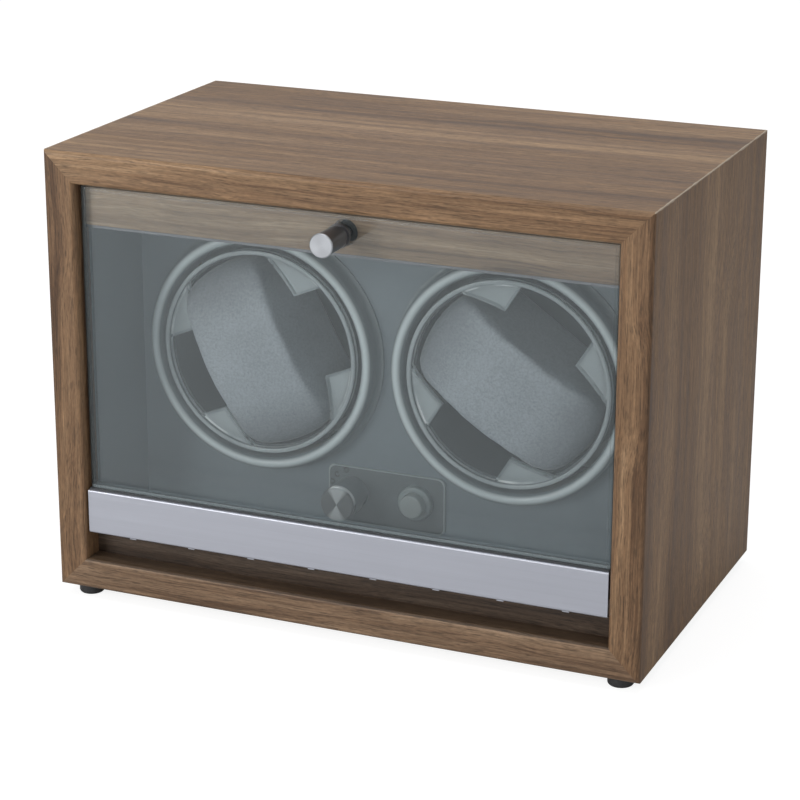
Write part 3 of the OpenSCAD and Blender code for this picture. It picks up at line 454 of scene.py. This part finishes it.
RAIL = walnut("walnut_rail", "x", 0.0, edge_wear_and_highlight=True)
RAIL_LOW = walnut("walnut_rail_low", "x", 0.31, (0.96, 1.04, 1.20))
STILE_L = walnut("walnut_stile_left", "z", 0.57, wave=0.0022, edge_wear_and_highlight=True, even=0.28)
STILE_R = walnut("walnut_stile_right", "z", 0.83, (1.02, 1.02, 1.02), wave=0.0022, edge_wear_and_highlight=True, even=0.28)
# painted light: the valance's strong tint makes it lighter and greyer, standing in for the light and the
# glass reflection over it
VALANCE = walnut("walnut_valance", "x", 1.27, (1.58, 1.76, 1.96), crisp=0.6)
# painted shade: the sill's tint darkens and greys it as shade in the recess
SILL = walnut("walnut_sill", "x", 1.61, (0.30, 0.34, 0.44))
# painted light: the lining's upward faces get twice the colour, standing in for light on the bay floor
LINING = plastic("lining_grey", (0.164, 0.202, 0.228), 0.5, 300.0, 0.005, 0.02, painted_upper_shading=2.0)
# painted light: the baffle is lightened near its bottom, where the door channel casts shade
BAFFLE = plastic("baffle_grey", (0.182, 0.222, 0.246), 0.5, 300.0, 0.005, 0.03, painted_low_band=(0.036, 0.050, 1.7))
# painted highlight: crest_highlight makes the bezel's foremost ridge pale
BEZEL = plastic("bezel_grey", (0.17, 0.205, 0.215), 0.34, 300.0, 0.01, 0.02, spec=0.7,
                crest_highlight=(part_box("bezel_left")[0][1], 0.0011, (0.74, 0.82, 0.83)))
PLATE = lit_edge("plate_grey", (0.125, 0.145, 0.150), (0.42, 0.47, 0.47), 0.42, "control_plate", 0.004)
BLACK = plastic("plastic_black", (0.016, 0.017, 0.018), 0.45, 900.0, 0.12, 0.15)
GREY_KNOB = plastic("knob_grey", (0.19, 0.21, 0.215), 0.30, 900.0, 0.02, 0.05)
DRUM = plastic("drum_dark", (0.084, 0.100, 0.106), 0.5, 400.0, 0.02, 0.04)
WHITE = plastic("acetal_white", (0.72, 0.72, 0.68), 0.35, 800.0, 0.05, 0.03)
BOARD = plastic("back_black", (0.022, 0.020, 0.019), 0.6, 500.0, 0.35, 0.2)
BUTTON = plastic("button_grey", (0.38, 0.42, 0.41), 0.38, 1500.0, 0.04, 0.03)
COLLAR = plastic("collar_grey", (0.30, 0.345, 0.345), 0.30, 1500.0, 0.04, 0.03, spec=0.6)
MOTOR = plastic("motor_zinc", (0.36, 0.37, 0.38), 0.38, 400.0, 0.08, 0.1, metallic=0.9)
ZINC = plastic("zinc_plate", (0.50, 0.51, 0.52), 0.36, 260.0, 0.06, 0.12, metallic=1.0)
GUN = plastic("gunmetal", (0.17, 0.17, 0.178), 0.34, 900.0, 0.05, 0.08, spec=0.7, metallic=0.8)
RUBBER = rubber("rubber_black")
GASKET = plastic("gasket_dark", (0.036, 0.038, 0.041), 0.45, 600.0, 0.03, 0.08)
# painted shade as well as a black coating: the dark magnet also stands in for the door knob's shadow on the
# valance
MAGNET = plastic("magnet_black", (0.030, 0.026, 0.023), 0.5, 700.0, 0.05, 0.1)
CABLE = plastic("cable_black", (0.012, 0.012, 0.013), 0.42, 700.0, 0.08, 0.1)
CABLE_RED = plastic("cable_red", (0.26, 0.014, 0.011), 0.4, 700.0, 0.08, 0.08)
STEEL = brushed("steel_bright", (0.56, 0.57, 0.58), (700, 700, 700), 0.28, 0.08)
SCREW = brushed("steel_dark", (0.10, 0.10, 0.11), (600, 600, 600), 0.38, 0.15)
BRASS = brushed("brass", (0.62, 0.44, 0.18), (400, 900, 400), 0.3, 0.08)
BRONZE = brushed("bronze", (0.42, 0.25, 0.12), (500, 500, 500), 0.42, 0.14)
CHANNEL = brushed("channel_brushed", (0.48, 0.495, 0.555), (14, 2600, 2600), 0.42, 0.05, 0.1)
TRIM = brushed("trim_satin", (0.20, 0.20, 0.215), (9, 900, 900), 0.4, 0.06)
GLASS = glass("pane")
CUP_L, CUP_R = (clear("cup_clear_" + side, (0.92, 0.95, 0.955), 0.14, (0.68, 0.76, 0.785),
                      "rotor_cup_" + side, 0.12, 0.12) for side in ("left", "right"))
CIRCUIT = circuit("circuit_board")
PILLOW = (0.40, 0.438, 0.475)
INK = plastic("ink_dark", (0.022, 0.024, 0.026), 0.6, 900.0, 0.02, 0.05)
KNOB_FACE = turned("knob_face", (0.47, 0.488, 0.52), xz("knob_face"), 0.42, 0.1, 0.2)
# the cap's bright bow-tie and the ring's bright arc are painted highlights
MODE_CAP = turned("mode_cap", (0.92, 0.96, 0.96), xz("mode_knob_cap"), 0.36, 0.2, 0.6,
                  (math.radians(88), 0.78, 0.94, True), 0.35)
CHROME = turned("chrome_ring", (0.98, 0.99, 0.99), xz("mode_knob_ring"), 0.16, 0.05, 0.0,
                (math.radians(62), 0.45, 0.75, False), 0.2)

LOOKS = {
    "top_board": RAIL, "bottom_board": RAIL_LOW, "left_board": STILE_L, "right_board": STILE_R,
    "back_panel": BOARD, "back_screws": SCREW, "feet": RUBBER, "foot_screws": STEEL,
    "valance": VALANCE, "valance_trim": TRIM, "catch_magnet": MAGNET, "door_sill": SILL,
    "interior_lining": LINING, "baffle": BAFFLE, "glass_pane": GLASS, "door_channel": CHANNEL,
    "glass_gasket": GASKET, "hinge_blocks": WHITE, "hinge_pins": STEEL,
    "door_knob": GUN, "knob_face": KNOB_FACE, "knob_washer": RUBBER, "knob_screw": BLACK,
    "bezel_left": BEZEL, "bezel_right": BEZEL, "rotor_drum_left": DRUM, "rotor_drum_right": DRUM,
    "rotor_cup_left": CUP_L, "rotor_cup_right": CUP_R, "rotor_gear_left": WHITE, "rotor_gear_right": WHITE,
    "rotor_shaft_left": STEEL, "rotor_shaft_right": STEEL, "shaft_clip_left": STEEL,
    "shaft_clip_right": STEEL,
    "bearing_bushes": BRONZE, "gearmotor_left": MOTOR, "gearmotor_right": MOTOR,
    "pinion_left": BRASS, "pinion_right": BRASS, "motor_plate": ZINC, "plate_posts": ZINC,
    "plate_screws": SCREW,
    "control_plate": PLATE, "mode_switch": BLACK, "mode_spindle": STEEL, "mode_knob": GREY_KNOB,
    "mode_knob_ring": CHROME, "mode_knob_cap": MODE_CAP, "button_collar": COLLAR, "power_button": BUTTON,
    "power_switch": BLACK, "button_spring": STEEL, "control_board": CIRCUIT, "dc_inlet": BLACK,
    "dc_nut": STEEL, "dc_lead": CABLE, "motor_leads": CABLE_RED,
}
for name, mat in LOOKS.items():
    obj = nodes[name]
    if not obj.material_slots:
        obj.data.materials.append(mat)
    for s in obj.material_slots:
        s.material = mat


# ---- pieces made here ----

def new_object(name, bm, mat):
    me = bpy.data.meshes.new(name)
    bm.normal_update()
    bm.to_mesh(me)
    bm.free()
    obj = bpy.data.objects.new(name, me)
    scene.collection.objects.link(obj)
    me.materials.append(mat)
    for p in me.polygons:
        p.use_smooth = True
    return obj


def apply_modifiers(obj):
    """Bakes every modifier into the mesh."""
    dg = bpy.context.evaluated_depsgraph_get()
    me = bpy.data.meshes.new_from_object(obj.evaluated_get(dg))
    obj.modifiers.clear()
    obj.data = me


def inflate(obj, cap):
    """Swells a closed mesh with cloth pressure and keeps each point within cap of where it began."""
    start = [v.co.copy() for v in obj.data.vertices]
    c = obj.modifiers.new("cloth", "CLOTH")
    s = c.settings
    s.quality = 5
    s.mass = 0.15
    s.tension_stiffness = 25
    s.compression_stiffness = 25
    s.shear_stiffness = 12
    s.bending_stiffness = 1.2
    s.use_pressure = True
    s.uniform_pressure_force = 4.0
    s.effector_weights.gravity = 0.0
    c.collision_settings.use_collision = False
    for f in range(1, 21):
        scene.frame_set(f)
    apply_modifiers(obj)
    for v, p in zip(obj.data.vertices, start):
        d = v.co - p
        if d.length > cap:
            v.co = p + d.normalized() * cap
    scene.frame_set(1)


def smooth(obj, rounds):
    """Evens out the mesh."""
    m = obj.modifiers.new("smooth", "SMOOTH")
    m.factor = 0.5
    m.iterations = rounds
    apply_modifiers(obj)


def outline(half_l, half_w, corner, steps):
    """Plan of a pillow: a rounded rectangle, as points with their outward normals."""
    pts = []
    for i in range(steps):
        t = 2 * math.pi * i / steps
        du, dv = math.cos(t), math.sin(t)
        lo, hi = 0.0, half_l
        for _ in range(40):
            m = (lo + hi) / 2
            qx, qy = abs(m * du) - half_l + corner, abs(m * dv) - half_w + corner
            if math.hypot(max(qx, 0), max(qy, 0)) + min(max(qx, qy), 0) < corner:
                lo = m
            else:
                hi = m
        pts.append(Vector((m * du, m * dv)))
    out = []
    for i, p in enumerate(pts):
        d = pts[(i + 1) % steps] - pts[i - 1]
        out.append((p, Vector((d.y, -d.x)).normalized()))
    return out


def pad_mesh(half_l, half_w, front, back):
    """Closed block: crowned front, edges rounded more at the ends than along the sides, and a flat back."""
    bm = bmesh.new()
    rings = []
    plan = outline(half_l, half_w, PAD_CORNER, 160)

    def face_y(x):
        return front + PAD_CROWN - math.sqrt(PAD_CROWN * PAD_CROWN - x * x)

    def ring(inset, turn, rear):
        row = []
        for p, n in plan:
            r = BACK_R if rear else SIDE_R + (END_R - SIDE_R) * n.x * n.x
            q = p - n * (r * (1 - math.sin(turn)))
            q = q * (1 - inset)
            drop = r * (1 - math.cos(turn))
            row.append(bm.verts.new((q.x, back - drop if rear else face_y(q.x) + drop, q.y)))
        rings.append(row)

    for k in range(1, 14):
        ring(1 - k / 14, 0.0, False)
    for k in range(9):
        ring(0.0, math.pi / 2 * k / 8, False)
    for k in range(4):
        ring(0.0, math.pi / 2 * (1 - k / 4), True)
    for k in range(10):
        ring(k / 10, 0.0, True)
    for a, b in zip(rings, rings[1:]):
        for i in range(len(a)):
            j = (i + 1) % len(a)
            bm.faces.new((a[i], a[j], b[j], b[i]))
    bm.faces.new(rings[0])
    bm.faces.new(rings[-1])
    bmesh.ops.recalc_face_normals(bm, faces=bm.faces[:])
    return bm


def pillow(side, angle):
    """Padded cuff the size of its CAD block, with soft edges, swollen by cloth pressure and smoothed."""
    node = "pillow_" + side
    lo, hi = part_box(node)
    hub = centre("rotor_drum_" + side)
    level = Matrix.Rotation(math.radians(angle), 4, "Y") @ Matrix.Translation((-hub[0], 0, -hub[2]))
    co = [level @ v.co for v in nodes[node].data.vertices]
    half_l, half_w = (max(abs(p[i]) for p in co) for i in (0, 2))
    block = pad_mesh(half_l - PAD_SHY, half_w - PAD_SHY, lo[1] + PAD_SHY, hi[1] - PAD_SHY)
    obj = new_object("pad_" + side, block, leatherette("leatherette_" + side, PILLOW, hub, angle))
    m = obj.modifiers.new("remesh", "REMESH")
    m.mode = "VOXEL"
    m.voxel_size = VOXEL
    apply_modifiers(obj)
    smooth(obj, 2)
    inflate(obj, SWELL)
    smooth(obj, 1)
    points = [v.co for v in obj.data.vertices]
    near = min(p.y for p in points)
    long = max(abs(p.x) for p in points)
    wide = max(abs(p.z) for p in points if p.y < near + 0.0035 and abs(p.x) < 0.015)
    reach = half_w - PAD_GAP
    fit = Matrix.Diagonal(((half_l - PAD_GAP) / long, 1, reach / wide, 1))
    obj.data.transform(Matrix.Translation((0, lo[1] + PAD_GAP - near, 0)) @ fit)
    for v in obj.data.vertices:
        v.co.z = max(-reach, min(reach, v.co.z))
    m = obj.modifiers.new("subdivision", "SUBSURF")
    m.levels = m.render_levels = 1
    apply_modifiers(obj)
    obj.data.transform(level.inverted())
    for p in obj.data.polygons:
        p.use_smooth = True
    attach(obj, node)
    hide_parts(node)


def mark_arrow(name, cx, cz, y, radius, start, sweep, width=0.00028):
    """A flat curved arrow on the control plate."""
    bm = bmesh.new()
    steps = 18

    def point(r, degrees):
        a = math.radians(degrees)
        return bm.verts.new((cx + r * math.cos(a), y, cz + r * math.sin(a)))

    rows = []
    for i in range(steps + 1):
        rows.append([point(r, start + sweep * i / steps) for r in (radius - width, radius + width)])
    for p, q in zip(rows, rows[1:]):
        bm.faces.new((p[0], p[1], q[1], q[0]))
    end = start + sweep
    inner, outer = (point(r, end) for r in (radius - HEAD, radius + HEAD))
    bm.faces.new((inner, outer, point(radius, end + math.copysign(38, sweep))))
    ret = bmesh.ops.extrude_face_region(bm, geom=bm.faces[:])
    for v in ret["geom"]:
        if isinstance(v, bmesh.types.BMVert):
            v.co.y -= INK_T
    bmesh.ops.recalc_face_normals(bm, faces=bm.faces[:])
    obj = new_object(name, bm, INK)
    for p in obj.data.polygons:
        p.use_smooth = False
    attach(obj, "case")


for side, angle in PAD_ANGLE.items():
    pillow(side, angle)
plate_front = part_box("control_plate")[0][1]
knob_x, knob_z = xz("mode_knob")
for i, (deg, sweep) in enumerate([(-68, 250), (-44, -250), (-16, 300)]):
    a = math.radians(90 - deg)
    mark_arrow("mark_%d" % i, knob_x + MARK_RING * math.cos(a), knob_z + MARK_RING * math.sin(a),
               plate_front - SINK, MARK_R, 200 if sweep > 0 else -20, sweep)


# ---- stage, lights and camera ----

def pale_floor():
    """White floor: it shows white with a faint shadow and throws back a softer light than it shows."""
    t = Tree("floor_pale")
    n = t.noise(t.coords((6, 6, 6)), detail=2)
    t.set(Base_Color=t.ramp(n, [(0.3, (0.72, 0.72, 0.72)), (0.7, (0.74, 0.74, 0.74))]), Roughness=0.9,
          Specular_IOR_Level=0.0)
    soft = t.add("BsdfDiffuse", {"Color": rgb((0.30, 0.30, 0.30))})
    glow = t.add("Emission", {"Color": rgb((1, 1, 1)), "Strength": 0.86})
    shown = t.add("AddShader", {0: soft.outputs[0], 1: glow.outputs[0]})
    seen = t.add("LightPath").outputs["Is Camera Ray"]
    both = t.add("MixShader", {0: seen, 1: t.bsdf.outputs[0], 2: shown.outputs[0]})
    t.nt.links.new(both.outputs[0], t.out.inputs[0])
    bm = bmesh.new()
    bmesh.ops.create_grid(bm, x_segments=2, y_segments=2, size=4.0)
    obj = new_object("floor", bm, t.mat)


def area(name, loc, target, size, power, colour=(1, 1, 1), size_y=None):
    d = bpy.data.lights.new(name, "AREA")
    d.shape = "RECTANGLE"
    d.size = size
    d.size_y = size_y or size
    d.energy = power
    d.color = colour
    o = bpy.data.objects.new(name, d)
    scene.collection.objects.link(o)
    o.location = loc
    o.rotation_euler = (Vector(target) - Vector(loc)).to_track_quat("-Z", "Y").to_euler()


pale_floor()
world = bpy.data.worlds.new("studio")
scene.world = world
world.use_nodes = True
wt = world.node_tree
bg = wt.nodes["Background"]
bg.inputs[0].default_value = (0.97, 0.985, 1.0, 1)
bg.inputs[1].default_value = 0.30
seen = wt.nodes.new("ShaderNodeBackground")
seen.inputs[0].default_value = (1, 1, 1, 1)
seen.inputs[1].default_value = 1.0
path = wt.nodes.new("ShaderNodeLightPath")
pick = wt.nodes.new("ShaderNodeMixShader")
wt.links.new(path.outputs["Is Camera Ray"], pick.inputs[0])
wt.links.new(bg.outputs[0], pick.inputs[1])
wt.links.new(seen.outputs[0], pick.inputs[2])
wt.links.new(pick.outputs[0], wt.nodes["World Output"].inputs[0])

mid = (0, 0, 0.11)
area("key", (-1.30, -1.75, 0.75), mid, 1.3, 30, (1.0, 0.99, 0.97))
area("fill", (1.05, -1.5, 0.85), mid, 1.2, 8.0, (0.97, 0.985, 1.0))
area("top", (-0.1, -0.1, 1.7), mid, 1.3, 12)
area("back", (-0.6, 1.5, 0.85), mid, 1.6, 2.2, (0.97, 0.985, 1.0), 0.9)

cam_data = bpy.data.cameras.new("camera")
cam = bpy.data.objects.new("camera", cam_data)
scene.collection.objects.link(cam)
cam_data.sensor_width = 36.0
cam_data.lens = 114.2275
cam_data.clip_start = 0.05
cam_data.clip_end = 50.0
right = Vector((0.91957558, 0.39290565, 0.00243074))
up = Vector((-0.12695071, 0.29125564, 0.94818441))
back = right.cross(up)
cam.matrix_world = Matrix((
    (right.x, up.x, back.x, 0.4452),
    (right.y, up.y, back.y, -1.0488),
    (right.z, up.z, back.z, 0.4752),
    (0, 0, 0, 1)))
scene.camera = cam
scene.view_settings.view_transform = "Standard"
scene.view_settings.look = "None"
